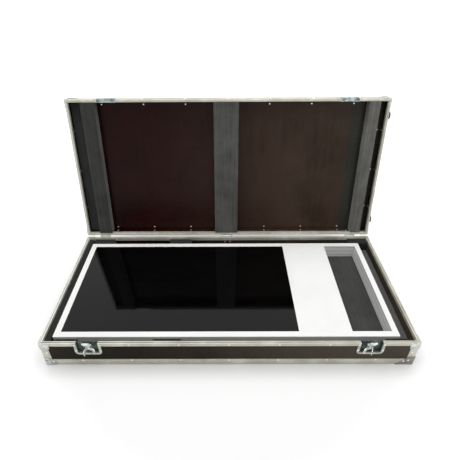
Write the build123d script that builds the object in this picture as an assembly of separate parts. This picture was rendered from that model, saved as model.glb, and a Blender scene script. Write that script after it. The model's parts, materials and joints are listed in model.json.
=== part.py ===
from build123d import *
import os

# Flight case that holds a flat display stand, with its lid open.
# Millimetres. The origin is on the ground under the middle of the case, X runs along it and -Y is the front.

# Whole case; its other outer sizes follow from the stand that lies in it
lid_height = 56.0
ground_gap = 3.0
closing_gap = 0.6
open_angle = 99.6

# Walls and edge profiles
ply = 9.0
skin = 2.0
skin_round = 4.0
base_leg = 31.0
lid_leg = 34.0
corner_leg = 31.0
line_places = (9.0, 15.0)
line_width = 1.4
line_depth = 0.5

# Rim profile over the edge of the plywood
rim_flange = 17.0
rim_lip = 17.0
rim_lip_skin = 1.0
rim_web = 7.0
rim_round = 1.5
groove_width = 4.4
groove_depth = 5.0
tongue_width = 2.6
tongue_height = 4.0

# Corner hardware
plate = 1.5
ball_size = 26.0
ball_round = 9.0
ball_reach = 44.0
ball_rivet_inset = 18.0
lid_ball_height = 20.0
brace_leg = 38.0
brace_tall = 32.0
brace_rivet_reach = 24.0
angle_rivet_reach = 20.0

# Rivets
rivet_pitch = 198.0
base_rivet_row = 25.0
lid_top_rivet_row = 28.0
lid_side_rivet_row = 22.0
rim_rivet_drop = 10.0
rivet_radius = 2.0
rivet_hole = 2.1
rivet_head = 4.5
rivet_dome = 1.8
tail_radius = 3.2
tail_height = 1.0
tail_clearance = 0.4

# Running past a face with a cutter, the gap round a tight pin, and how near two points are the same
past = 1.0
tight_gap = 0.02
same_place = 0.01

# Wheels at the right end
bracket_plate = 2.0
bracket_reach = 70.0
bracket_inner = 34.0
bracket_shoulder = 10.0
bracket_slope = 36.0
bracket_tall = 48.0
bracket_beside_cup = 12.0
bracket_rivets = ((42.0, 18.0), (24.0, 24.0))
bracket_end_rivet = (50.0, 34.0)
wheel_radius = 18.0
wheel_width = 20.0
wheel_proud = 5.0
wheel_from_front = 30.0
wheel_gap = 3.0
wheel_side_gap = 3.0
tyre_round = 3.0
cup_wall = 2.0
axle_radius = 4.0
axle_clearance = 0.05
axle_head = 6.0
axle_head_thick = 2.0
axle_head_space = 1.0
hub_radius = 9.0
hub_side_gap = 0.3

# Feet on the right end
foot_radius = 19.0
foot_height = 12.0
foot_round = 2.5
foot_screw = 5.0
foot_recess = 3.0
base_foot_inset = 80.0
base_foot_height = 75.0

# Butterfly latches
latch_from_end = 190.0
dish_sheet = 1.2
dish_half = 54.0
dish_drop = 66.0
dish_round = 18.0
recess_half = 43.0
recess_drop = 56.0
recess_depth = 13.0
dish_clearance = 0.1
keeper_tall = 38.0
keeper_recess = 28.0
lip_half = 20.0
lip_low = 8.0
lip_thick = 2.5
lip_reach = 6.0
hub_drop = 34.0
hub_disc = 13.0
hub_thick = 5.0
spindle_radius = 4.0
spindle_head = 8.0
washer_thick = 2.0
wing_pivot = 8.0
wing_pin = 1.5
wing_barrel = 2.4
wing_axis_depth = 3.0
wing_root = 6.0
wing_root_length = 10.0
wing_flare = 4.0
wing_half = 13.0
wing_length = 30.0
wing_thick = 2.0
wing_round = 5.0
wing_ear = 2.0
wing_side_gap = 0.2
hook_drop = 14.0
hook_depth = 4.0
hook_half = 14.0
hook_thick = 2.5
hook_pin = 2.0
hook_barrel = 4.2
hook_bite = 3.5
hook_gap = 0.2
hook_swing = 35.0
hook_rib = 6.0
hook_slot_rise = 10.0
hook_slot_drop = 4.0
hook_side_gap = 0.4
hook_ear = 2.0
hook_ear_half = 4.5
hook_ear_front = -0.5
hook_pin_end = 0.8
pin_clearance = 0.05

# Hinges
hinge_from_end = 95.0
hinge_width = 50.0
hinge_leaf = 2.0
hinge_offset = 6.0
hinge_knuckle = 5.0
hinge_pin = 2.5
hinge_pin_head = 4.0
hinge_pin_head_thick = 1.5
hinge_tall = 34.0
hinge_middle = 20.0
hinge_side_gap = 0.3
hinge_swing_gap = 0.3
hinge_rivet_side = 14.0
hinge_rivet_drops = (12.5, 26.5)

# Display stand lying in the base
stand_thickness = 68.0
stand_below_rim = 6.0
stand_back_shell = 26.0
stand_sheet = 3.0
stand_border = 26.0
stand_right_border = 24.0
stand_corner_round = 3.0
stand_edge_round = 1.0
screen_length = 966.0
screen_width = 552.0
glass_thick = 4.0
glass_gap = 0.2
glass_ledge = 8.0
panel_gap = 12.0
panel_length = 196.0
panel_thick = 2.0
window_gap = 8.0
window_length = 160.0
lcd_thick = 12.0
lcd_clearance = 2.0
control_length = 140.0
control_width = 160.0
control_height = 32.0
control_round = 4.0

# Foam
floor_foam = 46.0
foam_gap = 0.8
left_strip_width = 26.0
left_strip_gap = 4.0
left_strip_below_rim = 10.0
right_strip_width = 53.0
right_strip_gap = 1.0
right_strip_height = 20.0
front_block_depth = 24.9
back_block_depth = 41.5
back_block_below_rim = 8.0
block_end_gap = 4.0
block_latch_gap = 3.7
left_back_block_length = 105.0
middle_block_place = -249.0
middle_block_length = 114.0
right_block_length = 111.0
right_back_block_length = 100.0
lid_foam_proud = 4.0
lid_foam_end_gap = 1.0
lid_mat_thick = 10.0
lid_mat_width = 57.0
lid_left_block_width = 66.0
lid_centre_place = -7.0
lid_centre_width = 118.0
lid_right_width = 50.0
lid_right_gap = 35.0

# Worked out from the sizes above
wall = skin + ply
rim_width = wall + rim_lip_skin
stand_length = stand_border + screen_length + panel_gap + panel_length
stand_length += window_gap + window_length + stand_right_border
stand_width = screen_width + 2 * stand_border
case_width = left_strip_width + left_strip_gap + stand_length + right_strip_gap + right_strip_width
case_width += 2 * rim_width
case_depth = front_block_depth + stand_width + back_block_depth + 2 * foam_gap + 2 * rim_width
base_height = wall + floor_foam + stand_thickness + stand_below_rim
half_x = case_width / 2
half_y = case_depth / 2
rim_z = ground_gap + base_height
wall_x = half_x - wall
wall_y = half_y - wall
inner_x = half_x - rim_width
inner_y = half_y - rim_width
floor_z = ground_gap + wall
foam_top = floor_z + floor_foam
stand_left = left_strip_width + left_strip_gap - inner_x
stand_front = front_block_depth + foam_gap - inner_y
stand_back = stand_front + stand_width
stand_right = stand_left + stand_length
stand_top = foam_top + stand_thickness
latch_place = half_x - latch_from_end
hinge_places = (hinge_from_end - half_x, 0.0, half_x - hinge_from_end)
wheel_x = half_x + wheel_proud - wheel_radius
wheel_z = ground_gap + wheel_radius
wheel_y = half_y - wheel_from_front
cup_half = wheel_width / 2 + wheel_side_gap
lid_top_z = rim_z + closing_gap + lid_height
hinge_y = half_y + hinge_offset
hinge_z = rim_z + closing_gap / 2


def block(x, y, z):
    low = (x[0], y[0], z[0])
    size = (x[1] - x[0], y[1] - y[0], z[1] - z[0])
    return Pos(*low) * Box(*size, align=(Align.MIN, Align.MIN, Align.MIN))


def around(middle, half):
    return (middle - half, middle + half)


def rod(radius, start, end):
    start = Vector(*start)
    along = Vector(*end) - start
    return Solid.make_cylinder(radius, along.length, Plane(origin=start, z_dir=along))


def upright(outline, low, high):
    flat = make_face(Polyline(*outline, close=True))
    return Pos(0, 0, low) * extrude(flat, amount=high - low)


def near(first, second):
    one = first.bounding_box()
    two = second.bounding_box()
    for axis in ("X", "Y", "Z"):
        if getattr(one.max, axis) < getattr(two.min, axis):
            return False
        if getattr(two.max, axis) < getattr(one.min, axis):
            return False
    return True


def cut(piece, tools):
    reached = [tool for tool in tools if near(piece, tool)]
    return piece - reached if reached else piece


def solids_of(pieces):
    return [solid for piece in pieces for solid in piece.solids()]


def mirrored_both_ways(piece):
    back = mirror(piece, about=Plane.XZ)
    return [piece, back, mirror(piece, about=Plane.YZ), mirror(back, about=Plane.YZ)]


def front_and_back(piece):
    return [piece, mirror(piece, about=Plane.XZ)]



# A tray is the base or the closed lid turned over: z is 0 on its outer face and its height at the rim.


def profile_bar(points, rounds, half_length, reach):
    outline = make_face(Polyline(*points, close=True))
    for corner, radius in rounds:
        vertex = outline.vertices().sort_by_distance((corner[0], corner[1], 0))[0]
        outline = fillet(vertex, radius)
    bar = extrude(Plane.YZ * outline, amount=half_length, both=True)
    ends = half_length - reach
    mitre = [(-half_length, 0), (half_length, 0), (ends, reach), (-ends, reach)]
    return bar & upright(mitre, -case_depth, case_depth)


def front_and_back_bar(bar):
    return [Pos(0, -half_y, 0) * bar, Rot(0, 0, 180) * Pos(0, -half_y, 0) * bar]


def end_bars(bar):
    return [Rot(0, 0, 90) * Pos(0, -half_x, 0) * bar, Rot(0, 0, -90) * Pos(0, -half_x, 0) * bar]


def edge_bar(half_length, leg):
    lines = []
    for place in line_places:
        low, high = around(place, line_width / 2)
        lines += [(low, 0), (low, line_depth), (high, line_depth), (high, 0)]
    points = [(0, 0)] + lines + [(leg, 0), (leg, skin), (skin, skin), (skin, leg), (0, leg)]
    points += [(depth, along) for along, depth in reversed(lines)]
    return profile_bar(points, [((0, 0), skin_round)], half_length, leg)


def rim_bar(half_length, height, tongue):
    middle = rim_width / 2
    web_low = height - rim_web
    points = [(0, height), (0, height - rim_flange), (skin, height - rim_flange), (skin, web_low)]
    points += [(wall, web_low), (wall, height - rim_lip)]
    points += [(rim_width, height - rim_lip), (rim_width, height)]
    if tongue:
        half = tongue_width / 2
        points += [(middle + half, height), (middle + half, height + tongue_height)]
        points += [(middle - half, height + tongue_height), (middle - half, height)]
    else:
        half = groove_width / 2
        points += [(middle + half, height), (middle + half, height - groove_depth)]
        points += [(middle - half, height - groove_depth), (middle - half, height)]
    return profile_bar(points, [((0, height), rim_round)], half_length, rim_width)


def corner_angles():
    outer = [(half_x, half_y), (half_x - corner_leg, half_y), (half_x - corner_leg, half_y - skin)]
    outer += [(half_x - skin, half_y - skin), (half_x - skin, half_y - corner_leg)]
    outer += [(half_x, half_y - corner_leg)]
    outline = make_face(Polyline(*outer, close=True))
    outline = fillet(outline.vertices().sort_by_distance((half_x, half_y, 0))[0], skin_round)
    height = base_height - rim_flange - base_leg
    return mirrored_both_ways(Pos(0, 0, base_leg) * extrude(outline, amount=height))


def rim_brace(height):
    low = height - brace_tall
    outer = block((half_x - brace_leg, half_x + plate), (half_y - brace_leg, half_y + plate), (low, height))
    upright_edge = outer.edges().filter_by(Axis.Z).sort_by_distance((half_x, half_y, height))[0]
    outer = fillet(upright_edge, skin_round)
    return outer - block((0, half_x), (0, half_y), (low - past, height + past))


def rim_braces(height):
    return mirrored_both_ways(rim_brace(height))


def ball_corner(side_height):
    proud = ground_gap
    reach = ball_reach
    sheet = block((half_x - reach, half_x + plate), (half_y - reach, half_y + plate), (-plate, side_height))
    sheet = fillet(edges_through(sheet, Vector(half_x + plate, half_y + plate, -plate)), skin_round + plate)
    corner = Vector(half_x, half_y, 0)
    for way in (Vector(1, 0, 0), Vector(0, 1, 0), Vector(0, 0, 1)):
        sheet = sheet & rod(reach, corner - way * case_depth, corner + way * case_depth)
    ball = block((half_x - ball_size, half_x + proud), (half_y - ball_size, half_y + proud),
                 (-proud, min(ball_size, side_height)))
    ball = fillet(edges_through(ball, Vector(half_x + proud, half_y + proud, -proud)), ball_round)
    return (sheet + ball) - block((0, half_x), (0, half_y), (0, 2 * base_height))


def edges_through(solid, point):
    found = []
    for edge in solid.edges():
        nearest = min((vertex.center() - point).length for vertex in edge.vertices())
        if nearest < same_place:
            found.append(edge)
    return found


def rivet_spot(point, outward, grip, lift=0.0):
    outward = Vector(*outward)
    return {"at": Vector(*point) + outward * lift, "out": outward, "grip": grip + lift}


def rivet(spot):
    head = spot["at"] + spot["out"] * rivet_dome
    tip = spot["at"] - spot["out"] * spot["grip"]
    dome_radius = (rivet_head ** 2 + rivet_dome ** 2) / (2 * rivet_dome)
    dome = rod(rivet_head, spot["at"], head) & Pos(*(head - spot["out"] * dome_radius)) * Sphere(dome_radius)
    shank = rod(rivet_radius, tip, spot["at"])
    tail = rod(tail_radius, tip - spot["out"] * tail_height, tip)
    return dome + shank + tail


def rivet_drill(spot):
    return rod(rivet_hole, spot["at"] - spot["out"] * (spot["grip"] + 0.5), spot["at"] + spot["out"] * 0.5)


def tail_pocket(spot):
    tip = spot["at"] - spot["out"] * spot["grip"]
    return rod(tail_radius + tail_clearance, tip - spot["out"] * (tail_height + tail_clearance), tip)


def grip_below_rim(drop):
    return rim_width if drop < rim_lip - rivet_radius else wall


def clear_of(place, blocked, half):
    return all(abs(place - middle) > half + rivet_head for middle in blocked)


def tray_rivets(height, flat_row, side_row, leg_front_blocked, leg_back_blocked):
    count = int((half_x - bracket_reach) // rivet_pitch)
    along = [rivet_pitch * step for step in range(-count, count + 1)]
    count = int((half_y - bracket_reach) // rivet_pitch)
    across = [rivet_pitch * step for step in range(-count, count + 1)]
    rim_row = height - rim_rivet_drop
    spots = []
    for x in along:
        for side in (-1, 1):
            spots.append(rivet_spot((x, side * (half_y - flat_row), 0), (0, 0, -1), wall))
            hinged = side > 0
            leg_blocked = leg_back_blocked if hinged else leg_front_blocked
            rim_blocked = hinge_places if hinged else (-latch_place, latch_place)
            half = hinge_width / 2 if hinged else dish_half
            if clear_of(x, leg_blocked, half):
                spots.append(rivet_spot((x, side * half_y, side_row), (0, side, 0), wall))
            if clear_of(x, rim_blocked, half):
                spots.append(rivet_spot((x, side * half_y, rim_row), (0, side, 0), rim_width))
    for y in across:
        for side in (-1, 1):
            spots.append(rivet_spot((side * (half_x - flat_row), y, 0), (0, 0, -1), wall))
            spots.append(rivet_spot((side * half_x, y, side_row), (side, 0, 0), wall))
            spots.append(rivet_spot((side * half_x, y, rim_row), (side, 0, 0), rim_width))
    return spots


def corner_rivets(reach, row, grip, lift):
    spots = []
    for side_x in (-1, 1):
        for side_y in (-1, 1):
            at = (side_x * (half_x - reach), side_y * half_y, row)
            spots.append(rivet_spot(at, (0, side_y, 0), grip, lift))
            at = (side_x * half_x, side_y * (half_y - reach), row)
            spots.append(rivet_spot(at, (side_x, 0, 0), grip, lift))
    return spots


def brace_rivets(height):
    return corner_rivets(brace_rivet_reach, height - rim_rivet_drop, rim_width, plate)


def angle_rivets():
    middle = (base_leg + base_height - rim_flange) / 2
    return corner_rivets(angle_rivet_reach, middle, wall, 0.0)


def ball_rivets(sides, bottom_only):
    reach = (ball_size + ball_reach) / 2
    spots = []
    for side_x in sides:
        for side_y in (-1, 1):
            at = (side_x * (half_x - reach), side_y * (half_y - ball_rivet_inset), 0)
            spots.append(rivet_spot(at, (0, 0, -1), wall, plate))
            if not bottom_only:
                at = (side_x * (half_x - reach), side_y * half_y, ball_rivet_inset)
                spots.append(rivet_spot(at, (0, side_y, 0), wall, plate))
    return spots


def bracket_rivet_spots():
    spots = []
    for side in (-1, 1):
        for reach, row in bracket_rivets:
            at = (half_x - reach, side * half_y, row)
            spots.append(rivet_spot(at, (0, side, 0), wall, bracket_plate))
        reach, row = bracket_end_rivet
        at = (half_x, side * (half_y - reach), row)
        spots.append(rivet_spot(at, (1, 0, 0), wall, bracket_plate))
    return spots


def dish_rivets(height, drops):
    reach = (recess_half + dish_sheet + dish_half) / 2
    spots = []
    for middle in (-latch_place, latch_place):
        for side in (-1, 1):
            for drop in drops:
                at = (middle + side * reach, -half_y, height - drop)
                spots.append(rivet_spot(at, (0, -1, 0), grip_below_rim(drop), dish_sheet))
    return spots


def leaf_rivets(height):
    spots = []
    for middle in hinge_places:
        for side in (-1, 1):
            for drop in hinge_rivet_drops:
                at = (middle + side * hinge_rivet_side, half_y, height - drop)
                spots.append(rivet_spot(at, (0, 1, 0), grip_below_rim(drop), hinge_leaf))
    return spots


def latch_cutters(height, drop):
    half = recess_half + dish_sheet + dish_clearance
    low = height - drop - dish_sheet - dish_clearance
    y = (-half_y - past, -half_y + recess_depth)
    return [block(around(middle, half), y, (low, height + tongue_height + past))
            for middle in (-latch_place, latch_place)]


def tray_panels(height, cutters):
    web_low = height - rim_web
    outer_x = half_x - skin
    outer_y = half_y - skin
    upper = (wall, web_low)
    bottom = block((-outer_x, outer_x), (-outer_y, outer_y), (skin, wall))
    front = block((-outer_x, outer_x), (-outer_y, -wall_y), upper)
    right = block((wall_x, outer_x), (-wall_y, wall_y), upper)
    return {
        "bottom_panel": [cut(bottom, cutters)],
        "front_panel": [cut(front, cutters)],
        "back_panel": [cut(mirror(front, about=Plane.XZ), cutters)],
        "left_panel": [cut(mirror(right, about=Plane.YZ), cutters)],
        "right_panel": [cut(right, cutters)],
    }


def tray_metal(height, leg, tongue, cutters):
    groups = {
        "edge_long": front_and_back_bar(edge_bar(half_x, leg)),
        "edge_short": end_bars(edge_bar(half_y, leg)),
        "rim_long": front_and_back_bar(rim_bar(half_x, height, tongue)),
        "rim_short": end_bars(rim_bar(half_y, height, tongue)),
        "rim_braces": rim_braces(height),
    }
    return {name: [cut(piece, cutters) for piece in pieces] for name, pieces in groups.items()}


# Right end of the base: brackets with wheels, and rubber feet


def cup_box(grow=0.0):
    x = (wheel_x - wheel_radius - wheel_gap - grow, half_x + bracket_plate + past)
    z = (-past, wheel_z + wheel_radius + wheel_gap + grow)
    return block(x, around(-wheel_y, cup_half + grow), z)


def wheel_bracket():
    outline = [(half_x - bracket_reach, 0), (half_x - bracket_inner, bracket_slope)]
    outline += [(half_x - bracket_inner + bracket_shoulder, bracket_tall)]
    outline += [(half_x + bracket_plate, bracket_tall), (half_x + bracket_plate, 0)]
    flat = make_face(Polyline(*outline, close=True))
    side_reach = half_y - wheel_y + cup_half + bracket_beside_cup
    whole = extrude(Plane.XZ * flat, amount=side_reach + bracket_plate)
    whole = Pos(0, -half_y + side_reach, 0) * whole
    corner_edge = whole.edges().filter_by(Axis.Z).sort_by_distance((half_x, -half_y, bracket_tall))[0]
    whole = fillet(corner_edge, skin_round)
    inside = block((0, half_x), (-half_y, half_y), (ground_gap, base_height))
    cup = block(
        (wheel_x - wheel_radius - wheel_gap - cup_wall, half_x),
        around(-wheel_y, cup_half + cup_wall),
        (ground_gap, wheel_z + wheel_radius + wheel_gap + cup_wall),
    )
    bracket = (whole - inside) + cup
    hole = rod(axle_radius + tight_gap, axle_end(-1, past), axle_end(1, past))
    return bracket - cup_box() - hole


def cup_space():
    space = cup_box(cup_wall + tight_gap)
    reach = axle_head_thick + axle_head_space
    head = rod(axle_head + axle_head_space, axle_end(-1, reach), axle_end(1, reach))
    return [space, head]


def axle_end(side, extra=0.0):
    return (wheel_x, -wheel_y + side * (cup_half + cup_wall + extra), wheel_z)


def axle():
    shaft = rod(axle_radius, axle_end(-1), axle_end(1))
    heads = [rod(axle_head, axle_end(side), axle_end(side, axle_head_thick)) for side in (-1, 1)]
    return shaft + heads


def wheel():
    half = wheel_width / 2
    tyre = rod(wheel_radius, (wheel_x, -wheel_y - half, wheel_z), (wheel_x, -wheel_y + half, wheel_z))
    tyre = fillet(tyre.edges().filter_by(GeomType.CIRCLE), tyre_round)
    side = cup_half - hub_side_gap
    hub = rod(hub_radius, (wheel_x, -wheel_y - side, wheel_z), (wheel_x, -wheel_y + side, wheel_z))
    bore = rod(axle_radius + axle_clearance, axle_end(-1), axle_end(1))
    return (tyre + hub) - bore


def foot(y, z, seat):
    end = half_x + foot_height
    body = rod(foot_radius, (seat, y, z), (end, y, z))
    rim = body.edges().filter_by(GeomType.CIRCLE).sort_by(Axis.X)[-1]
    body = fillet(rim, foot_round)
    return body - rod(foot_screw, (end - foot_recess, y, z), (end + past, y, z))


# Latches: u runs along X from the latch's middle, v up from the rim and w outward from the front


def place_latch(side, shape):
    return Pos(side * latch_place, -half_y, rim_z) * shape


def latch_block(u, v, w):
    return block(u, (-w[1], -w[0]), v)


def base_dish():
    flange = latch_block((-dish_half, dish_half), (-dish_drop, 0), (0, dish_sheet))
    flange = fillet(flange.edges().filter_by(Axis.Y).group_by(Axis.Z)[0], dish_round)
    outer = recess_half + dish_sheet
    floor = dish_sheet - recess_depth
    shell = latch_block((-outer, outer), (-recess_drop - dish_sheet, 0), (-recess_depth, 0))
    space = latch_block((-recess_half, recess_half), (-recess_drop, past), (floor, dish_sheet + past))
    dish = (flange + shell) - space
    for side in (-1, 1):
        inner = side * (hook_half + hook_side_gap)
        u = sorted((inner, inner + side * hook_ear))
        dish = dish + latch_block(u, around(-hook_drop, hook_ear_half), (floor, hook_ear_front))
    hub_centre = (0, 0, -hub_drop)
    spindle_hole = rod(spindle_radius + pin_clearance, hub_centre, (0, recess_depth + past, -hub_drop))
    return dish - hook_pin_rod(tight_gap) - spindle_hole


def hook_pin_rod(grow=0.0):
    far = hook_half + hook_side_gap + hook_ear + hook_pin_end
    return rod(hook_pin + grow, (-far, hook_depth, -hook_drop), (far, hook_depth, -hook_drop))


def hook():
    lip_high = lip_low + lip_thick + hook_gap
    front = -hook_depth + hook_thick / 2
    half = hook_half
    arm = latch_block((-half, half), (-hook_drop, lip_high + hook_thick), (front - hook_thick, front))
    nose_end = lip_reach - recess_depth + dish_sheet - hook_bite
    nose = latch_block((-half, half), (lip_high, lip_high + hook_thick), (nose_end, front))
    slot_ends = (hook_slot_rise - hook_drop, lip_high - hook_slot_drop)
    slot = latch_block(around(0, half - hook_rib), slot_ends, (front - hook_thick - past, front + past))
    barrel = rod(hook_barrel, (-half, hook_depth, -hook_drop), (half, hook_depth, -hook_drop))
    shut = (arm + nose + barrel) - slot - hook_pin_rod(pin_clearance)
    pivot = Axis((0, hook_depth, -hook_drop), (1, 0, 0))
    return shut.rotate(pivot, hook_swing)


def keeper_dish():
    low = closing_gap
    flange = latch_block((-dish_half, dish_half), (low, keeper_tall), (0, dish_sheet))
    flange = fillet(flange.edges().filter_by(Axis.Y).group_by(Axis.Z)[-1], dish_round)
    outer = recess_half + dish_sheet
    floor = dish_sheet - recess_depth
    shell = latch_block((-outer, outer), (low, keeper_recess + dish_sheet), (-recess_depth, 0))
    space = latch_block((-recess_half, recess_half), (-past, keeper_recess), (floor, dish_sheet + past))
    lip = latch_block((-lip_half, lip_half), (lip_low, lip_low + lip_thick), (floor, floor + lip_reach))
    return (flange + shell) - space + lip


def latch_hub():
    back = dish_sheet - recess_depth + dish_clearance
    front = back + hub_thick
    disc = rod(hub_disc, (0, -back, -hub_drop), (0, -front, -hub_drop))
    behind = recess_depth + dish_clearance
    spindle = rod(spindle_radius, (0, -back, -hub_drop), (0, behind, -hub_drop))
    washer = rod(spindle_head, (0, behind, -hub_drop), (0, behind + washer_thick, -hub_drop))
    hub = disc + spindle + washer
    gap = wing_root + wing_side_gap
    pins = []
    for side in (-1, 1):
        u = around(side * wing_pivot, wing_barrel)
        for way in (-1, 1):
            v = sorted((-hub_drop + way * gap, -hub_drop + way * (gap + wing_ear)))
            ear = latch_block(u, v, (front - dish_clearance, -wing_axis_depth + wing_barrel))
            hub = hub + ear
        reach = gap + wing_ear
        start = (side * wing_pivot, wing_axis_depth, -hub_drop - reach)
        end = (side * wing_pivot, wing_axis_depth, -hub_drop + reach)
        hub = hub - rod(wing_pin + tight_gap, start, end)
        pins.append(rod(wing_pin, start, end))
    return [hub] + pins


def wing(side, raised):
    tip = wing_pivot + wing_length
    flare = wing_pivot + wing_root_length
    wide = flare + wing_flare
    outline = [(wing_pivot, -wing_root), (flare, -wing_root), (wide, -wing_half), (tip, -wing_half)]
    outline += [(tip, wing_half), (wide, wing_half), (flare, wing_root), (wing_pivot, wing_root)]
    flat = make_face(Polyline(*outline, close=True))
    for corner in ((tip, -wing_half, 0), (tip, wing_half, 0)):
        flat = fillet(flat.vertices().sort_by_distance(corner)[0], wing_round)
    leaf = Plane.XZ * flat
    leaf = Pos(0, wing_axis_depth + wing_thick / 2, -hub_drop) * extrude(leaf, amount=wing_thick)
    ends = (-hub_drop - wing_root, -hub_drop + wing_root)
    barrel = rod(wing_barrel, (wing_pivot, wing_axis_depth, ends[0]), (wing_pivot, wing_axis_depth, ends[1]))
    bore = rod(wing_pin + pin_clearance, (wing_pivot, wing_axis_depth, ends[0] - past),
               (wing_pivot, wing_axis_depth, ends[1] + past))
    shape = (leaf + barrel) - bore
    shape = shape.rotate(Axis((wing_pivot, wing_axis_depth, 0), (0, 0, -1)), raised)
    return shape if side > 0 else mirror(shape, about=Plane.YZ)


# Hinges at the back


def hinge_rod(radius, ends, middle):
    return rod(radius, (middle + ends[0], hinge_y, hinge_z), (middle + ends[1], hinge_y, hinge_z))


def hinge_leaf_piece(middle, owner):
    half = hinge_width / 2
    inner = hinge_middle / 2
    if owner == "base":
        knuckles = [(-half, -inner - hinge_side_gap), (inner + hinge_side_gap, half)]
        other = [(-inner - hinge_side_gap, inner + hinge_side_gap)]
        z = (rim_z - hinge_tall, rim_z)
    else:
        knuckles = [(-inner, inner)]
        other = [(-half - past, -inner), (inner, half + past)]
        z = (rim_z + closing_gap, rim_z + closing_gap + hinge_tall)
    leaf = block(around(middle, half), (half_y, half_y + hinge_leaf), z)
    for ends in knuckles:
        leaf = leaf + hinge_rod(hinge_knuckle, ends, middle)
    for ends in other:
        leaf = leaf - hinge_rod(hinge_knuckle + hinge_swing_gap, ends, middle)
    return leaf - hinge_rod(hinge_pin + pin_clearance, (-half - past, half + past), middle)


def hinge_pin_piece(middle):
    half = hinge_width / 2
    pin = hinge_rod(hinge_pin, (-half, half), middle)
    far = half + hinge_pin_head_thick
    heads = [hinge_rod(hinge_pin_head, ends, middle) for ends in ((-far, -half), (half, far))]
    return pin + heads


# Foam


def floor_foam_piece():
    return block((-wall_x, wall_x), (-wall_y, wall_y), (floor_z, foam_top))


def base_foams():
    front = (-inner_y, -inner_y + front_block_depth)
    back = (inner_y - back_block_depth, inner_y)
    front_top = rim_z - rim_lip
    back_top = rim_z - back_block_below_rim
    right_top = foam_top + right_strip_height
    start = stand_left + block_end_gap
    left_end = -latch_place - recess_half - dish_sheet - dish_clearance - block_latch_gap
    middle = around(middle_block_place, middle_block_length / 2)
    blocks = [
        block((start, left_end), front, (foam_top, front_top)),
        block(middle, front, (foam_top, front_top)),
        block((inner_x - right_block_length, inner_x), front, (right_top, front_top)),
        block((start, start + left_back_block_length), back, (foam_top, back_top)),
        block(middle, back, (foam_top, back_top)),
        block((inner_x - right_back_block_length, inner_x), back, (right_top, back_top)),
    ]
    whole = (-inner_y, inner_y)
    left = block((-inner_x, left_strip_width - inner_x), whole, (foam_top, rim_z - left_strip_below_rim))
    right = block((inner_x - right_strip_width, inner_x), whole, (foam_top, right_top))
    return left, right, blocks


def lid_foams():
    ends = around(0, inner_y - lid_foam_end_gap)
    z = (wall, lid_height + lid_foam_proud)
    mat_end = lid_mat_width - wall_x
    right_end = wall_x - lid_right_gap
    return {
        "lid_foam_left_mat": block((-wall_x, mat_end), around(0, wall_y), (wall, wall + lid_mat_thick)),
        "lid_foam_left_block": block((mat_end, mat_end + lid_left_block_width), ends, z),
        "lid_foam_centre": block(around(lid_centre_place, lid_centre_width / 2), ends, z),
        "lid_foam_right": block((right_end - lid_right_width, right_end), ends, z),
    }


# Display stand


def stand_spans():
    screen_x = (stand_left + stand_border, stand_left + stand_border + screen_length)
    panel_x = (screen_x[1] + panel_gap, screen_x[1] + panel_gap + panel_length)
    window_x = (panel_x[1] + window_gap, panel_x[1] + window_gap + window_length)
    y = (stand_front + stand_border, stand_back - stand_border)
    return screen_x, panel_x, window_x, y


def grown(span, by):
    return (span[0] - by, span[1] + by)


def display_frame():
    screen_x, panel_x, window_x, y = stand_spans()
    seam = foam_top + stand_back_shell
    x = (stand_left, stand_right)
    whole_y = (stand_front, stand_back)
    outer = block(x, whole_y, (seam, stand_top))
    outer = fillet(outer.edges().filter_by(Axis.Z), stand_corner_round)
    outer = fillet(outer.faces().sort_by(Axis.Z)[-1].edges(), stand_edge_round)
    hollow_top = stand_top - stand_sheet
    hollow = block(grown(x, -stand_sheet), grown(whole_y, -stand_sheet), (seam - past, hollow_top))
    recess_floor = stand_top - glass_thick
    pan_low = recess_floor - stand_sheet
    pan_top = stand_top - stand_edge_round
    frame = outer - hollow
    for span, low in ((screen_x, pan_low), (panel_x, pan_low), (window_x, seam)):
        frame = frame + block(grown(span, stand_sheet), grown(y, stand_sheet), (low, pan_top))
    top = stand_top + past
    for span, low in ((screen_x, recess_floor), (panel_x, stand_top - panel_thick)):
        frame = frame - block(grown(span, glass_gap), grown(y, glass_gap), (low, top))
        frame = frame - block(grown(span, -glass_ledge), grown(y, -glass_ledge), (pan_low - past, top))
    return frame - block(window_x, y, (seam - past, top))


def display_back():
    _, _, window_x, y = stand_spans()
    seam = foam_top + stand_back_shell
    x = (stand_left, stand_right)
    whole_y = (stand_front, stand_back)
    outer = block(x, whole_y, (foam_top, seam))
    outer = fillet(outer.edges().filter_by(Axis.Z), stand_corner_round)
    inside = (foam_top + stand_sheet, seam + past)
    hollow = block(grown(x, -stand_sheet), grown(whole_y, -stand_sheet), inside)
    tube = block(grown(window_x, stand_sheet), grown(y, stand_sheet), (foam_top, seam))
    return (outer - hollow) + tube - block(window_x, y, (foam_top - past, seam + past))


def display_inside():
    screen_x, panel_x, _, y = stand_spans()
    glass_low = stand_top - glass_thick
    glass = block(screen_x, y, (glass_low, stand_top))
    cover = block(panel_x, y, (stand_top - panel_thick, stand_top))
    inset = -glass_ledge - lcd_clearance
    lcd = block(grown(screen_x, inset), grown(y, inset), (glass_low - lcd_thick, glass_low))
    middle = sum(panel_x) / 2
    box_y = around(sum(y) / 2, control_width / 2)
    low = foam_top + stand_sheet
    control = block(around(middle, control_length / 2), box_y, (low, low + control_height))
    control = fillet(control.edges().filter_by(Axis.Z), control_round)
    return glass, cover, lcd, control


# Putting the case together


def stand_up(pieces):
    return [Pos(0, 0, ground_gap) * piece for piece in pieces]


def close_lid(pieces):
    return [Pos(0, 0, lid_top_z) * mirror(piece, about=Plane.XY) for piece in pieces]


def open_lid(pieces):
    axis = Axis((0, hinge_y, hinge_z), (-1, 0, 0))
    return [piece.rotate(axis, open_angle) for piece in pieces]


def save(name, pieces):
    solids = solids_of(pieces)
    shape = solids[0] if len(solids) == 1 else Compound(children=solids)
    export_step(shape, "parts/" + name + ".step")


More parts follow.
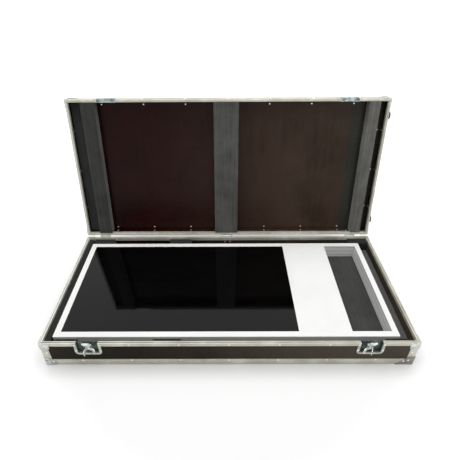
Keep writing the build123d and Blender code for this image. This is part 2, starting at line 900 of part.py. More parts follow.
def build_base():
    cutters = latch_cutters(base_height, recess_drop)
    groups = tray_panels(base_height, cutters)
    groups.update(tray_metal(base_height, base_leg, False, cutters))
    groups["corner_angles"] = corner_angles()
    ball = mirror(ball_corner(ball_reach), about=Plane.YZ)
    groups["ball_corners"] = front_and_back(ball)
    spots = tray_rivets(base_height, base_rivet_row, base_rivet_row, (), ())
    spots += brace_rivets(base_height) + ball_rivets((-1,), False) + angle_rivets()
    spots += bracket_rivet_spots()
    spots += dish_rivets(base_height, (rim_rivet_drop, dish_drop - dish_round - rivet_head))
    spots += leaf_rivets(base_height)
    drills = stand_up([rivet_drill(spot) for spot in spots])
    pockets = stand_up([tail_pocket(spot) for spot in spots])
    cups = cup_space()
    cups += [mirror(space, about=Plane.XZ) for space in cups]
    made = {"base_" + name: [cut(piece, drills + cups) for piece in stand_up(pieces)]
            for name, pieces in groups.items()}
    made["base_floor_panel"] = made.pop("base_bottom_panel")
    made["base_rivets"] = stand_up([rivet(spot) for spot in spots])
    made["latch_dishes"] = [cut(place_latch(side, base_dish()), drills) for side in (-1, 1)]
    made["hook_pins"] = [place_latch(side, hook_pin_rod()) for side in (-1, 1)]
    made["hinge_leaves_base"] = [cut(hinge_leaf_piece(place, "base"), drills) for place in hinge_places]
    made["hinge_pins"] = [hinge_pin_piece(place) for place in hinge_places]
    made["wheel_brackets"] = [cut(piece, drills) for piece in front_and_back(wheel_bracket())]
    made["wheel_axles"] = front_and_back(axle())
    seat = half_x - skin
    foot_y = half_y - base_foot_inset
    made["base_end_feet"] = [foot(side * foot_y, base_foot_height, seat) for side in (-1, 1)]
    left, right, blocks = base_foams()
    made["foam_floor"] = [cut(floor_foam_piece(), pockets + cups)]
    made["foam_left_strip"] = [cut(left, pockets)]
    made["foam_right_strip"] = [cut(right, pockets + cups)]
    made["foam_blocks"] = [cut(piece, pockets) for piece in blocks]
    return made


def build_lid():
    cutters = latch_cutters(lid_height, keeper_recess)
    groups = tray_panels(lid_height, cutters)
    groups.update(tray_metal(lid_height, lid_leg, True, cutters))
    groups["ball_corners"] = mirrored_both_ways(ball_corner(lid_ball_height))
    latches = (-latch_place, latch_place)
    spots = tray_rivets(lid_height, lid_top_rivet_row, lid_side_rivet_row, latches, hinge_places)
    spots += brace_rivets(lid_height) + ball_rivets((-1, 1), True)
    spots += dish_rivets(lid_height, (rim_rivet_drop,)) + leaf_rivets(lid_height)
    drills = [rivet_drill(spot) for spot in spots]
    pockets = [tail_pocket(spot) for spot in spots]
    closed = {"lid_" + name: [cut(piece, drills) for piece in pieces] for name, pieces in groups.items()}
    closed["lid_top_panel"] = closed.pop("lid_bottom_panel")
    closed["lid_rivets"] = [rivet(spot) for spot in spots]
    middle = lid_height / 2
    foot_y = half_y - base_foot_inset
    closed["lid_end_feet"] = [foot(side * foot_y, middle, half_x) for side in (-1, 1)]
    for name, piece in lid_foams().items():
        closed[name] = [cut(piece, pockets)]
    closed = {name: close_lid(pieces) for name, pieces in closed.items()}
    lid_drills = close_lid(drills)
    closed["keeper_dishes"] = [cut(place_latch(side, keeper_dish()), lid_drills) for side in (-1, 1)]
    closed["hinge_leaves_lid"] = [cut(hinge_leaf_piece(place, "lid"), lid_drills) for place in hinge_places]
    return {name: open_lid(pieces) for name, pieces in closed.items()}


# How far each wing stands up from its latch: left latch, then right latch, each with its left wing first
wing_angles = {"left": (90.0, 35.0), "right": (35.0, 115.0)}


def build_moving():
    made = {}
    for name, side in (("left", -1), ("right", 1)):
        made["latch_" + name + "_hub"] = [place_latch(side, piece) for piece in latch_hub()]
        made["latch_" + name + "_hook"] = [place_latch(side, hook())]
        left_angle, right_angle = wing_angles[name]
        made["latch_" + name + "_wing_left"] = [place_latch(side, wing(-1, left_angle))]
        made["latch_" + name + "_wing_right"] = [place_latch(side, wing(1, right_angle))]
    front_wheel, back_wheel = front_and_back(wheel())
    made["wheel_front"] = [front_wheel]
    made["wheel_back"] = [back_wheel]
    return made


def build_display():
    glass, cover, lcd, control = display_inside()
    return {
        "display_frame": [display_frame()],
        "display_back": [display_back()],
        "display_glass": [glass],
        "display_lower_panel": [cover],
        "display_lcd": [lcd],
        "display_control_box": [control],
    }


def main():
    os.makedirs("parts", exist_ok=True)
    for group in (build_base(), build_lid(), build_moving(), build_display()):
        for name, pieces in group.items():
            save(name, pieces)


main()
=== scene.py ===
import json
import math

import bmesh
import bpy
from mathutils import Matrix, Vector, noise


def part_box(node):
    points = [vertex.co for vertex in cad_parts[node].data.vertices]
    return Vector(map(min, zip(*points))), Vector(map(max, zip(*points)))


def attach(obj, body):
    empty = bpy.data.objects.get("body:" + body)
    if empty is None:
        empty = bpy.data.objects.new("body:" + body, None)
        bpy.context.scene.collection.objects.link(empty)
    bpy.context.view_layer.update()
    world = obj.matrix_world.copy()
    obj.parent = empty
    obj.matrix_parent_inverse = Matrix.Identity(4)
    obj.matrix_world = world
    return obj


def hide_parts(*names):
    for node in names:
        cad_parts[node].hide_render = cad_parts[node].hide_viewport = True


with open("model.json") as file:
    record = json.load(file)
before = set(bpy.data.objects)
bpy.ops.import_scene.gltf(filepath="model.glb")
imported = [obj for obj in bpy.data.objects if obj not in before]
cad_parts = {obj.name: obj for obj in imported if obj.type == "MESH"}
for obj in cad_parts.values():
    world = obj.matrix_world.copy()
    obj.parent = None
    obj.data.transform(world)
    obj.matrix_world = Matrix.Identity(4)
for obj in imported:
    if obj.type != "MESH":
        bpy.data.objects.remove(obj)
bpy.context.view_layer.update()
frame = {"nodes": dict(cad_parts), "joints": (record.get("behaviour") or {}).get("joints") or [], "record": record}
NODES = frame["nodes"]
JOINTS = {joint["name"]: joint for joint in frame["joints"]}
BODY_OF = {}
for body_name, members in frame["record"]["behaviour"]["bodies"].items():
    for member in members:
        BODY_OF[member] = body_name

# The lid is drawn open. Its foam is made as if the lid were shut, and then turned about the hinge
LID = JOINTS["lid_hinge"]
LID_PIVOT = Vector(LID["pos_m"])
LID_ANGLE = math.radians(-LID["range_deg"][0])
LID_OPEN = (Matrix.Translation(LID_PIVOT) @ Matrix.Rotation(LID_ANGLE, 4, Vector(LID["axis"]))
            @ Matrix.Translation(-LID_PIVOT))
LID_SHUT = LID_OPEN.inverted()

# Foam shapes: lengths in metres, waves per metre
FOAM_ROUND = 0.0025
FOAM_EDGE_LINE = 0.35 * FOAM_ROUND
FOAM_CELL = 0.012
FOAM_WAVE = 0.0007
WAVES_PER_METRE = 22.0
FLOOR_FOAM_VOXEL = 0.006
SAME_POINT = 0.00001
SORT_DECIMALS = 4

# Places along X, in metres, between which a film or a metal changes its tone. The film's step is a painted
# reflection, lighter to the right
FILM_REFLECTION_TURN = (-0.5, 0.6)
# The band of painted reflection at the film's right end
REFLECTION_BAND = (0.575, 0.61)
# The painted highlight at the metal's left end
WHITE_HIGHLIGHT_END = (-0.6, 0.2)

# Depths behind the dish's front between which painted shade darkens the plating
DISH_SHADE_TURN = (0.003, 0.011)

# Level lines on the stand's upright walls
LAYER_HALF_PITCH = 0.012
LAYER_WIDTH = 0.0028
LAYER_DARK = 0.6

# A face whose normal has a smaller Y part than this lies between front and back
FACE_TURN = 0.2

# The sockets for colours on a mix node
MIX_FACTOR = 0
MIX_FIRST = 6
MIX_SECOND = 7
MIX_RESULT = 2

BLACK = (0.0, 0.0, 0.0)
WHITE = (1.0, 1.0, 1.0)


# Colours


def srgb(red, green, blue):
    """A colour written as it looks on screen, 0 to 255, as the linear one that a shader takes."""
    def linear(value):
        value = value / 255
        return value / 12.92 if value <= 0.04045 else ((value + 0.055) / 1.055) ** 2.4
    return (linear(red), linear(green), linear(blue))


def grey(value):
    return (value, value, value)


def opaque(colour):
    return (*colour, 1.0)


# Node tools


def smooth_step(tree, value, start, end, low, high):
    """A soft step from low to high while the value goes from start to end."""
    node = tree.nodes.new("ShaderNodeMapRange")
    node.interpolation_type = "SMOOTHSTEP"
    for name, number in (("From Min", start), ("From Max", end), ("To Min", low), ("To Max", high)):
        node.inputs[name].default_value = number
    tree.links.new(value, node.inputs["Value"])
    return node.outputs["Result"]


def combined(tree, operation, first, second):
    """A math node fed by two other nodes."""
    node = tree.nodes.new("ShaderNodeMath")
    node.operation = operation
    tree.links.new(first, node.inputs[0])
    tree.links.new(second, node.inputs[1])
    return node.outputs[0]


def axis_part(tree, vector, axis):
    """The X, Y or Z of a vector."""
    split = tree.nodes.new("ShaderNodeSeparateXYZ")
    tree.links.new(vector, split.inputs[0])
    return split.outputs[axis]


class Shader:
    """A principled material and short calls for its texture nodes."""

    def __init__(self, name):
        self.material = bpy.data.materials.new(name)
        self.material.use_nodes = True
        self.tree = self.material.node_tree
        self.base = self.tree.nodes["Principled BSDF"]
        self.place = self.tree.nodes.new("ShaderNodeTexCoord").outputs["Object"]

    def set(self, **values):
        """Numbers for the principled shader's own sockets, with _ for the blanks in their names."""
        for name, value in values.items():
            self.base.inputs[name.replace("_", " ")].default_value = value

    def link(self, output, name):
        self.tree.links.new(output, self.base.inputs[name])

    def feed(self, value, socket):
        """Writes a number or a colour on a socket, or links another node's output to it."""
        if isinstance(value, float):
            socket.default_value = value
        elif isinstance(value, tuple):
            socket.default_value = opaque(value)
        else:
            self.tree.links.new(value, socket)

    def stretched(self, scale):
        mapping = self.tree.nodes.new("ShaderNodeMapping")
        mapping.inputs["Scale"].default_value = scale
        self.tree.links.new(self.place, mapping.inputs["Vector"])
        return mapping.outputs["Vector"]

    def noise(self, scale, detail, roughness=0.55, stretch=None, distortion=0.0):
        node = self.tree.nodes.new("ShaderNodeTexNoise")
        node.inputs["Scale"].default_value = scale
        node.inputs["Detail"].default_value = detail
        node.inputs["Roughness"].default_value = roughness
        node.inputs["Distortion"].default_value = distortion
        self.tree.links.new(self.stretched(stretch) if stretch else self.place, node.inputs["Vector"])
        return node.outputs["Fac"]

    def cells(self, scale):
        node = self.tree.nodes.new("ShaderNodeTexVoronoi")
        node.inputs["Scale"].default_value = scale
        self.tree.links.new(self.place, node.inputs["Vector"])
        return node.outputs["Distance"]

    def ramp(self, fac, stops):
        """Colours at stops from 0 to 1, each a place and a colour."""
        node = self.tree.nodes.new("ShaderNodeValToRGB")
        elements = node.color_ramp.elements
        while len(elements) < len(stops):
            elements.new(0.5)
        for element, (position, colour) in zip(elements, stops):
            element.position = position
            element.color = opaque(colour)
        self.tree.links.new(fac, node.inputs["Fac"])
        return node.outputs["Color"]

    def grey_ramp(self, fac, low, high, start=0.3, end=0.7):
        return self.ramp(fac, [(start, grey(low)), (end, grey(high))])

    def across(self, start, end):
        """0 at the case's left, 1 at its right, with a soft step between two places along X."""
        return smooth_step(self.tree, axis_part(self.tree, self.place, "X"), start, end, 0.0, 1.0)

    def layer_lines(self):
        """Level lines round the upright walls: dark in a line, 1 between."""
        fold = self.tree.nodes.new("ShaderNodeMath")
        fold.operation = "PINGPONG"
        self.tree.links.new(axis_part(self.tree, self.place, "Z"), fold.inputs[0])
        fold.inputs[1].default_value = LAYER_HALF_PITCH
        return smooth_step(self.tree, fold.outputs[0], 0.0, LAYER_WIDTH, LAYER_DARK, 1.0)

    def facing_front(self):
        """1 on faces that look to the front while the lid is open, 0 on those that look back."""
        normal = self.tree.nodes.new("ShaderNodeTexCoord").outputs["Normal"]
        return smooth_step(self.tree, axis_part(self.tree, normal, "Y"), -FACE_TURN, FACE_TURN, 1.0, 0.0)

    def mix(self, fac, first, second, mode="MIX"):
        node = self.tree.nodes.new("ShaderNodeMix")
        node.data_type = "RGBA"
        node.blend_type = mode
        self.feed(fac, node.inputs[MIX_FACTOR])
        self.feed(first, node.inputs[MIX_FIRST])
        self.feed(second, node.inputs[MIX_SECOND])
        return node.outputs[MIX_RESULT]

    def add(self, first, second, factor):
        """The first value and the second one times a factor."""
        node = self.tree.nodes.new("ShaderNodeMath")
        node.operation = "MULTIPLY_ADD"
        self.feed(second, node.inputs[0])
        self.feed(factor, node.inputs[1])
        self.feed(first, node.inputs[2])
        return node.outputs[0]

    def bump(self, height, distance, strength):
        node = self.tree.nodes.new("ShaderNodeBump")
        node.inputs["Strength"].default_value = strength
        node.inputs["Distance"].default_value = distance
        self.tree.links.new(height, node.inputs["Height"])
        self.link(node.outputs["Normal"], "Normal")


# Materials


def laminate(name, left, right, rough, specular, reflection_grey=None):
    """Phenolic film on plywood with faint vertical roller marks, cloudy tone and fine scuffs. Its dark tone at the
    case's left and light one at its right are a painted reflection; the greyer band that the right end can have is
    one too."""
    look = Shader(name)
    cloud = look.noise(3.2, detail=4.0, roughness=0.6)
    streak = look.noise(9.0, detail=3.0, roughness=0.6, stretch=(7.0, 1.0, 0.6))
    grain = look.noise(420.0, detail=2.0, roughness=0.5)
    tone = look.add(look.grey_ramp(cloud, low=0.2, high=0.75), streak, factor=0.5)
    # Dark left and light right tones: a painted reflection that lightens the film to the right
    tones = [look.ramp(tone, [(0.25, dark), (0.8, light)]) for dark, light in (left, right)]
    colour = look.mix(look.across(*FILM_REFLECTION_TURN), *tones)
    # A band of painted reflection at the right end, only on faces that look to the front
    if reflection_grey:
        band = combined(look.tree, "MULTIPLY", look.across(*REFLECTION_BAND), look.facing_front())
        dark, light = reflection_grey
        colour = look.mix(band, colour, look.ramp(cloud, [(0.3, dark), (0.7, light)]))
    scuff = look.ramp(look.noise(34.0, detail=5.0, roughness=0.75, stretch=(1.0, 1.0, 6.0)),
                      [(0.6, BLACK), (0.76, grey(0.25))])
    colour = look.mix(scuff, colour, srgb(96, 88, 80))
    look.link(colour, "Base Color")
    look.link(look.grey_ramp(look.noise(16.0, detail=5.0, roughness=0.65), *rough), "Roughness")
    look.set(Specular_IOR_Level=specular)
    relief = look.add(grain, look.noise(60.0, detail=2.0), factor=0.6)
    look.bump(relief, distance=0.00012, strength=0.35)
    return look


def aluminium(name, along, left_highlight=0.0):
    """Extruded profile: drawing lines along its length, cloudy dulling and small dents. At the left end
    it can be whiter, a painted highlight."""
    look = Shader(name)
    stretch = {"x": (0.6, 160.0, 160.0), "y": (160.0, 0.6, 160.0), "z": (160.0, 160.0, 0.6)}[along]
    lines = look.noise(4.0, detail=3.0, roughness=0.6, stretch=stretch)
    cloud = look.noise(11.0, detail=5.0, roughness=0.65)
    tone = look.add(look.grey_ramp(cloud, low=0.15, high=0.85), lines, factor=0.35)
    colour = look.ramp(tone, [(0.2, srgb(174, 172, 156)), (0.65, srgb(196, 194, 180)),
                              (1.0, srgb(218, 217, 207))])
    specks = look.ramp(look.noise(90.0, detail=4.0, roughness=0.7), [(0.7, BLACK), (0.78, grey(0.5))])
    colour = look.mix(specks, colour, srgb(150, 146, 132))
    # Painted highlight: the metal whitens towards the case's left end
    if left_highlight:
        left = look.add(left_highlight, look.across(*WHITE_HIGHLIGHT_END), factor=-left_highlight)
        colour = look.mix(left, colour, srgb(246, 247, 244))
    look.link(colour, "Base Color")
    gloss = look.add(cloud, lines, factor=0.4)
    look.link(look.grey_ramp(gloss, low=0.34, high=0.52, start=0.35, end=0.95), "Roughness")
    look.set(Metallic=0.35)
    relief = look.add(lines, look.noise(38.0, detail=3.0), factor=0.5)
    look.bump(relief, distance=0.00018, strength=0.35)
    return look


def plated_surface(look, metallic):
    """The uneven gloss and fine ripple of plating."""
    look.link(look.grey_ramp(look.noise(90.0, detail=4.0, roughness=0.6), low=0.24, high=0.46), "Roughness")
    look.set(Metallic=metallic)
    look.bump(look.noise(150.0, detail=4.0, roughness=0.6), distance=0.0002, strength=0.4)


def zinc(name, dark, light, metallic):
    """Pressed zinc-plated steel: cool cloudy plating with small bright and dull patches."""
    look = Shader(name)
    cloud = look.noise(48.0, detail=5.0, roughness=0.7, distortion=0.4)
    crystals = look.cells(240.0)
    tone = look.add(look.grey_ramp(cloud, low=0.05, high=0.9), crystals, factor=0.4)
    look.link(look.ramp(tone, [(0.15, srgb(*dark)), (0.85, srgb(*light))]), "Base Color")
    plated_surface(look, metallic)
    return look


def dish_painted_shade():
    """The latch dishes: bright plating on the flange, darkened down in the recess by painted shade."""
    look = Shader("dish_painted_shade")
    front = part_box("latch_dishes")[0][1]
    start, end = (front + depth for depth in DISH_SHADE_TURN)
    painted_deep_shade = smooth_step(look.tree, axis_part(look.tree, look.place, "Y"), start, end, 0.0, 1.0)
    cloud = look.noise(60.0, detail=5.0, roughness=0.7, distortion=0.4)
    flange = look.ramp(cloud, [(0.3, srgb(150, 154, 143)), (0.7, srgb(208, 211, 199))])
    # The recess tone is painted shade
    recess = look.ramp(cloud, [(0.35, srgb(38, 48, 44)), (0.7, srgb(122, 133, 126))])
    look.link(look.mix(painted_deep_shade, flange, recess), "Base Color")
    plated_surface(look, metallic=0.85)
    return look


def cast_bracket():
    """Dark cast zinc of the wheel brackets, a little rough and rubbed on its faces."""
    look = Shader("cast_bracket")
    cloud = look.noise(70.0, detail=6.0, roughness=0.75)
    colour = look.ramp(cloud, [(0.3, srgb(112, 108, 101)), (0.55, srgb(146, 142, 134)),
                               (0.75, srgb(184, 180, 172))])
    look.link(colour, "Base Color")
    look.link(look.grey_ramp(look.noise(120.0, detail=4.0, roughness=0.6), low=0.42, high=0.7), "Roughness")
    look.set(Metallic=0.55)
    look.bump(look.noise(260.0, detail=4.0, roughness=0.65), distance=0.0005, strength=0.6)
    return look


def rivet_metal():
    """Bright aluminium of the rivets."""
    look = Shader("rivet_metal")
    cloud = look.noise(160.0, detail=3.0)
    look.link(look.ramp(cloud, [(0.3, srgb(222, 221, 215)), (0.7, srgb(248, 248, 245))]), "Base Color")
    look.link(look.grey_ramp(look.noise(220.0, detail=3.0), low=0.26, high=0.44), "Roughness")
    look.set(Metallic=0.45)
    look.bump(look.noise(500.0, detail=2.0), distance=0.0001, strength=0.3)
    return look


def foam_look(name, dark, light, sheen=0.25):
    """Closed-cell foam: fine open cells on the cut faces, faint saw lines and a dusty bloom."""
    look = Shader(name)
    cells = look.cells(620.0)
    fine = look.noise(900.0, detail=3.0, roughness=0.7)
    saw = look.noise(5.0, detail=5.0, roughness=0.8, stretch=(34.0, 0.5, 0.5))
    cloud = look.noise(9.0, detail=5.0, roughness=0.6)
    tone = look.add(look.grey_ramp(cloud, low=0.1, high=0.4), fine, factor=0.3)
    tone = look.add(tone, saw, factor=1.0)
    colour = look.ramp(tone, [(0.66, srgb(*dark)), (1.0, srgb(*light))])
    look.link(colour, "Base Color")
    look.link(look.grey_ramp(fine, low=0.82, high=0.98), "Roughness")
    look.set(Specular_IOR_Level=0.2, Sheen_Weight=sheen, Sheen_Roughness=0.6)
    relief = look.add(look.add(fine, cells, factor=0.8), saw, factor=0.8)
    look.bump(relief, distance=0.0009, strength=0.5)
    return look


def rubber_look():
    """Worn black rubber of the end feet and wheels."""
    look = Shader("rubber")
    cloud = look.noise(40.0, detail=5.0, roughness=0.65)
    look.link(look.ramp(cloud, [(0.35, srgb(38, 37, 37)), (0.7, srgb(74, 72, 70))]), "Base Color")
    look.link(look.grey_ramp(look.noise(120.0, detail=3.0), low=0.55, high=0.8), "Roughness")
    look.bump(look.noise(700.0, detail=3.0), distance=0.0002, strength=0.5)
    return look


def white_shell():
    """White powder coat: a fine orange-peel surface, faint smudges and thin lines on upright walls."""
    look = Shader("white_shell")
    smudge = look.noise(5.0, detail=5.0, roughness=0.6)
    colour = look.ramp(smudge, [(0.35, srgb(226, 227, 225)), (0.65, srgb(233, 233, 231))])
    colour = look.mix(1.0, colour, look.layer_lines(), "MULTIPLY")
    look.link(colour, "Base Color")
    look.link(look.grey_ramp(look.noise(30.0, detail=4.0), low=0.34, high=0.46), "Roughness")
    look.set(Specular_IOR_Level=0.3)
    look.bump(look.noise(900.0, detail=2.0), distance=0.00006, strength=0.25)
    return look


def screen_glass():
    """Black glass over the display: near-mirror gloss with slight wiping smears."""
    look = Shader("screen_glass")
    smear = look.noise(7.0, detail=6.0, roughness=0.7, stretch=(0.6, 2.2, 1.0))
    look.link(look.ramp(smear, [(0.3, srgb(1, 1, 1)), (0.75, srgb(5, 5, 5))]), "Base Color")
    look.link(look.grey_ramp(smear, low=0.02, high=0.07), "Roughness")
    look.set(Specular_IOR_Level=0.27)
    return look


def dark_module():
    """The plain dark blocks behind the glass and under the lower panel."""
    look = Shader("dark_module")
    cloud = look.noise(30.0, detail=4.0)
    look.link(look.ramp(cloud, [(0.3, srgb(26, 26, 28)), (0.7, srgb(48, 48, 50))]), "Base Color")
    look.link(look.grey_ramp(look.noise(80.0, detail=3.0), low=0.45, high=0.65), "Roughness")
    look.bump(look.noise(600.0, detail=2.0), distance=0.0001, strength=0.3)
    return look


# Foam pieces


def node_boxes(node, into=None):
    """The box of each separate solid of a node, if wanted after a turn."""
    mesh = bmesh.new()
    mesh.from_mesh(NODES[node].data)
    if into:
        mesh.transform(into)
    bmesh.ops.remove_doubles(mesh, verts=mesh.verts, dist=SAME_POINT)
    waiting = set(mesh.verts)
    boxes = []
    while waiting:
        reached = [waiting.pop()]
        island = []
        while reached:
            vertex = reached.pop()
            island.append(vertex.co.copy())
            for edge in vertex.link_edges:
                other = edge.other_vert(vertex)
                if other in waiting:
                    waiting.remove(other)
                    reached.append(other)
        low = Vector([min(point[axis] for point in island) for axis in range(3)])
        high = Vector([max(point[axis] for point in island) for axis in range(3)])
        boxes.append((low, high))
    mesh.free()
    return sorted(boxes, key=lambda pair: tuple(round(value, SORT_DECIMALS) for value in pair[0]))


def lines_between(low, high):
    """Grid lines along one side of a block: close together in the rounded edges, wider between."""
    inner_low = low + FOAM_ROUND
    inner_high = high - FOAM_ROUND
    count = max(1, round((inner_high - inner_low) / FOAM_CELL))
    edge = [0.0, FOAM_EDGE_LINE]
    middle = [inner_low + (inner_high - inner_low) * step / count for step in range(count + 1)]
    return [low + part for part in edge] + middle + [high - part for part in reversed(edge)]


def wave_depth(point):
    """How far the foam's uneven surface lies below its plain one at a point."""
    return FOAM_WAVE * (0.5 + 0.5 * noise.noise(point * WAVES_PER_METRE))


def soft_block(low, high, mesh):
    """Adds a closed foam block with rounded edges and a gently uneven surface to a bmesh."""
    lines = [lines_between(low[axis], high[axis]) for axis in range(3)]
    made = {}

    def vertex(index):
        if index not in made:
            point = Vector([lines[axis][index[axis]] for axis in range(3)])
            core = Vector([min(max(point[axis], low[axis] + FOAM_ROUND), high[axis] - FOAM_ROUND)
                           for axis in range(3)])
            out = point - core
            if out.length > 0:
                out.normalize()
                point = core + out * (FOAM_ROUND - wave_depth(point))
            made[index] = mesh.verts.new(point)
        return made[index]

    for axis in range(3):
        first, second = [other for other in range(3) if other != axis]
        for end in (0, len(lines[axis]) - 1):
            for i in range(len(lines[first]) - 1):
                for j in range(len(lines[second]) - 1):
                    corners = []
                    for di, dj in ((0, 0), (1, 0), (1, 1), (0, 1)):
                        index = [0, 0, 0]
                        index[axis] = end
                        index[first] = i + di
                        index[second] = j + dj
                        corners.append(vertex(tuple(index)))
                    mesh.faces.new(corners)


def foam_piece(name, node, look):
    """Replaces a plain foam solid by soft blocks of the same size and place."""
    body = BODY_OF[node]
    in_lid = body == "lid"
    mesh = bmesh.new()
    for low, high in node_boxes(node, LID_SHUT if in_lid else None):
        soft_block(low, high, mesh)
    bmesh.ops.recalc_face_normals(mesh, faces=mesh.faces)
    if in_lid:
        mesh.transform(LID_OPEN)
    finish_piece(name, mesh, node, body, look)


def floor_foam(look):
    """The floor sheet keeps the wheel cups' cut-outs, so it is remeshed from its solid and softened."""
    source = NODES["foam_floor"]
    piece = bpy.data.objects.new("floor_foam_sheet", source.data.copy())
    bpy.context.scene.collection.objects.link(piece)
    remesh = piece.modifiers.new("Remesh", "REMESH")
    remesh.mode = "VOXEL"
    remesh.voxel_size = FLOOR_FOAM_VOXEL
    graph = bpy.context.evaluated_depsgraph_get()
    shaped = bpy.data.meshes.new_from_object(piece.evaluated_get(graph))
    bpy.data.objects.remove(piece)
    mesh = bmesh.new()
    mesh.from_mesh(shaped)
    low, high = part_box("foam_floor")
    for vertex in mesh.verts:
        vertex.co -= vertex.normal * wave_depth(vertex.co)
        for axis in range(3):
            vertex.co[axis] = min(max(vertex.co[axis], low[axis]), high[axis])
    finish_piece("floor_foam_sheet", mesh, "foam_floor", "base", look)


def finish_piece(name, mesh, node, body, look):
    """Makes the foam mesh an object that stands in for its solid node."""
    data = bpy.data.meshes.new(name)
    mesh.to_mesh(data)
    mesh.free()
    for face in data.polygons:
        face.use_smooth = True
    data.materials.append(look.material)
    piece = bpy.data.objects.new(name, data)
    bpy.context.scene.collection.objects.link(piece)
    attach(piece, body)
    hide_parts(node)


def add_foams():
    """All foam pieces, in tones that follow the photo: one foam in five tones of painted light and shade, darkest
    in the case's shaded gaps and lighter towards the lid's right, where light falls.
    """
    dark = foam_look("foam_dark", (21, 21, 20), (52, 52, 49))
    # Painted deep shade, for the foam down in the case's gaps
    painted_deep_shade = foam_look("foam_painted_deep_shade", (9, 9, 9), (30, 31, 29), sheen=0.08)
    mat = foam_look("foam_mat", (17, 20, 18), (42, 46, 43))
    middle = foam_look("foam_middle", (42, 42, 40), (84, 84, 81))
    # Painted light, for the strip at the lid's right
    painted_light_foam = foam_look("foam_painted_light", (64, 64, 60), (106, 105, 99))
    floor_foam(dark)
    foam_piece("left_strip_foam", "foam_left_strip", painted_deep_shade)
    foam_piece("right_strip_foam", "foam_right_strip", middle)
    foam_piece("edge_block_foams", "foam_blocks", painted_deep_shade)
    foam_piece("lid_mat_foam", "lid_foam_left_mat", mat)
    foam_piece("lid_block_foam", "lid_foam_left_block", dark)
    foam_piece("lid_centre_foam", "lid_foam_centre", middle)
    foam_piece("lid_right_foam", "lid_foam_right", painted_light_foam)


# Giving the solid nodes their materials


def dress(look, *names):
    """Gives the named nodes one material."""
    for name in names:
        data = NODES[name].data
        data.materials.clear()
        data.materials.append(look.material)


def dress_nodes():
    """Materials of all solid nodes but the foam, which is replaced."""
    # Each film's left and right tones, and the lid's greyer right-end band, are painted reflection
    lid_film = laminate(
        "lid_film", left=(srgb(14, 1, 1), srgb(35, 7, 6)), right=(srgb(36, 24, 17), srgb(66, 52, 41)),
        rough=(0.2, 0.34), specular=0.09, reflection_grey=(srgb(42, 42, 37), srgb(54, 54, 48)))
    base_film = laminate(
        "base_film", left=(srgb(10, 6, 1), srgb(26, 18, 8)), right=(srgb(34, 28, 20), srgb(72, 64, 52)),
        rough=(0.3, 0.5), specular=0.08)
    dress(lid_film, "lid_top_panel", "lid_front_panel", "lid_back_panel", "lid_left_panel",
          "lid_right_panel")
    dress(base_film, "base_floor_panel", "base_front_panel", "base_back_panel", "base_left_panel",
          "base_right_panel")
    along_x = aluminium("aluminium_along_x", "x")
    # The short profiles get the painted highlight at their left end
    along_y = aluminium("aluminium_along_y", "y", left_highlight=0.4)
    along_z = aluminium("aluminium_along_z", "z")
    lid_side = aluminium("aluminium_lid_side", "z", left_highlight=0.4)
    dress(along_x, "base_edge_long", "base_rim_long", "lid_edge_long", "lid_rim_long")
    dress(along_y, "base_edge_short", "base_rim_short")
    dress(along_z, "base_corner_angles")
    dress(lid_side, "lid_edge_short", "lid_rim_short")
    plating = zinc("zinc_plating", (128, 136, 134), (206, 212, 210), metallic=0.9)
    dress(plating, "base_rim_braces", "base_ball_corners", "lid_rim_braces", "lid_ball_corners",
          "hinge_leaves_base", "hinge_leaves_lid", "wheel_axles")
    # A darker, high-contrast copy of the zinc: painted shade for the keeper dishes' dark slots, also used on the
    # pins
    dull = zinc("keeper_painted_shade", (66, 80, 78), (196, 206, 202), metallic=0.9)
    dress(dull, "keeper_dishes", "hinge_pins", "hook_pins")
    dress(dish_painted_shade(), "latch_dishes")
    # A lighter copy of the zinc for the latches' moving parts: painted highlight on the wings
    bright = zinc("zinc_painted_highlight", (136, 146, 146), (244, 246, 244), metallic=0.6)
    moving = [name for name in NODES if name.startswith(("latch_left", "latch_right"))]
    dress(bright, *moving)
    dress(cast_bracket(), "wheel_brackets")
    dress(rivet_metal(), "base_rivets", "lid_rivets")
    rubber = rubber_look()
    dress(rubber, "base_end_feet", "lid_end_feet", "wheel_front", "wheel_back")
    dress(white_shell(), "display_frame", "display_back", "display_lower_panel")
    dress(screen_glass(), "display_glass")
    dress(dark_module(), "display_lcd", "display_control_box")


# Floor and sky; distances in metres, brightness 1 is white. The sky turns from low to high between two
# heights on a unit sphere.
FLOOR_HALF = 40.0
FLOOR_GREY = 0.85
LIFT_START = 0.7
LIFT_END = 1.3
LIFT_FAR = 0.6
SKY_LOW = 0.22
SKY_HIGH = 0.6
SKY_TURN = (-0.05, 0.6)


def seen_rays(tree):
    """1 for rays from the camera and for those that metal and glass send on, else 0."""
    path = tree.nodes.new("ShaderNodeLightPath")
    total = path.outputs["Is Camera Ray"]
    for name in ("Is Glossy Ray", "Is Transmission Ray"):
        total = combined(tree, "MAXIMUM", total, path.outputs[name])
    return total


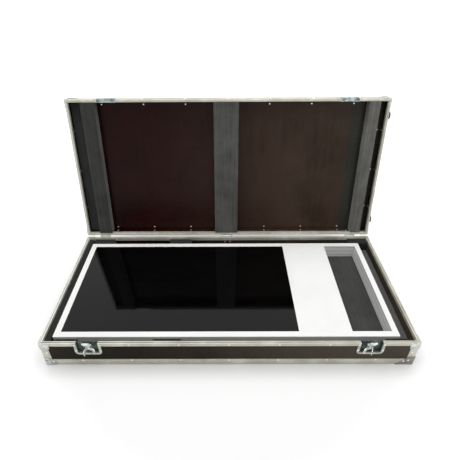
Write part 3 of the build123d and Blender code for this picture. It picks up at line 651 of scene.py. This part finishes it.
def add_floor():
    """A white floor; away from the case, where the lamps fade, it is seen lifted to white."""
    mesh = bmesh.new()
    bmesh.ops.create_grid(mesh, x_segments=1, y_segments=1, size=FLOOR_HALF)
    data = bpy.data.meshes.new("studio_floor")
    mesh.to_mesh(data)
    mesh.free()
    material = bpy.data.materials.new("floor_white")
    material.use_nodes = True
    tree = material.node_tree
    base = tree.nodes["Principled BSDF"]
    base.inputs["Base Color"].default_value = opaque(grey(FLOOR_GREY))
    base.inputs["Roughness"].default_value = 0.9
    base.inputs["Specular IOR Level"].default_value = 0.1
    place = tree.nodes.new("ShaderNodeTexCoord").outputs["Object"]
    far = tree.nodes.new("ShaderNodeVectorMath")
    far.operation = "LENGTH"
    tree.links.new(place, far.inputs[0])
    lift = smooth_step(tree, far.outputs["Value"], LIFT_START, LIFT_END, 0.0, LIFT_FAR)
    lift = combined(tree, "MULTIPLY", lift, seen_rays(tree))
    base.inputs["Emission Color"].default_value = opaque(WHITE)
    tree.links.new(lift, base.inputs["Emission Strength"])
    data.materials.append(material)
    floor = bpy.data.objects.new("studio_floor", data)
    bpy.context.scene.collection.objects.link(floor)


def add_world():
    """A studio that is bright overhead and dimmer round the horizon. The camera, metal and glass see
    plain white."""
    world = bpy.data.worlds.new("studio")
    bpy.context.scene.world = world
    world.use_nodes = True
    tree = world.node_tree
    background = tree.nodes["Background"]
    background.inputs["Color"].default_value = opaque(WHITE)
    height = axis_part(tree, tree.nodes.new("ShaderNodeTexCoord").outputs["Generated"], "Z")
    strength = smooth_step(tree, height, *SKY_TURN, SKY_LOW, SKY_HIGH)
    tree.links.new(strength, background.inputs["Strength"])
    seen = tree.nodes.new("ShaderNodeBackground")
    seen.inputs["Color"].default_value = opaque(WHITE)
    seen.inputs["Strength"].default_value = 1.0
    mix = tree.nodes.new("ShaderNodeMixShader")
    tree.links.new(seen_rays(tree), mix.inputs[0])
    tree.links.new(background.outputs[0], mix.inputs[1])
    tree.links.new(seen.outputs[0], mix.inputs[2])
    tree.links.new(mix.outputs[0], tree.nodes["World Output"].inputs["Surface"])


def add_lamp(name, place, target, size, watts):
    """An oblong soft light at a place, turned to a target."""
    data = bpy.data.lights.new(name, "AREA")
    data.shape = "RECTANGLE"
    data.size, data.size_y = size
    data.energy = watts
    lamp = bpy.data.objects.new(name, data)
    lamp.location = place
    lamp.rotation_euler = (Vector(target) - Vector(place)).to_track_quat("-Z", "Y").to_euler()
    bpy.context.scene.collection.objects.link(lamp)


def add_lamps():
    add_lamp("overhead", place=(0.0, 0.3, 3.4), target=(0.0, 0.1, 0.1), size=(4.5, 2.6), watts=104)
    add_lamp("front_right", place=(1.8, -3.8, 1.0), target=(0.2, 0.0, 0.4), size=(2.0, 1.6), watts=8)


# Camera fitted to the corners of the base and lid; angles in degrees. Its axis meets the picture some
# pixels left of the middle.
CAMERA_PLACE = (-0.01995, -1.30644, 1.37768)
CAMERA_PITCH = 35.98
CAMERA_YAW = -0.32
CAMERA_ROLL = 0.37
FOCAL_PIXELS = 385.6
PICTURE_PIXELS = 460
AXIS_LEFT_PIXELS = 8
SENSOR_WIDTH = 36.0
VIEW_END = 100.0


def add_camera():
    pitch, yaw, roll = (math.radians(angle) for angle in (CAMERA_PITCH, CAMERA_YAW, CAMERA_ROLL))
    ahead = Vector((math.sin(yaw) * math.cos(pitch), math.cos(yaw) * math.cos(pitch), -math.sin(pitch)))
    level = Vector((math.cos(yaw), -math.sin(yaw), 0.0))
    down = ahead.cross(level)
    right = math.cos(roll) * level + math.sin(roll) * down
    below = math.cos(roll) * down - math.sin(roll) * level
    data = bpy.data.cameras.new("camera")
    data.sensor_width = SENSOR_WIDTH
    data.lens = FOCAL_PIXELS / PICTURE_PIXELS * data.sensor_width
    data.shift_x = AXIS_LEFT_PIXELS / PICTURE_PIXELS
    data.clip_end = VIEW_END
    camera = bpy.data.objects.new("camera", data)
    turn = Matrix((right, -below, -ahead)).transposed().to_4x4()
    camera.matrix_world = Matrix.Translation(Vector(CAMERA_PLACE)) @ turn
    bpy.context.scene.collection.objects.link(camera)
    bpy.context.scene.camera = camera


add_camera()
add_floor()
add_world()
add_lamps()
dress_nodes()
add_foams()
bpy.context.scene.view_settings.view_transform = "Standard"
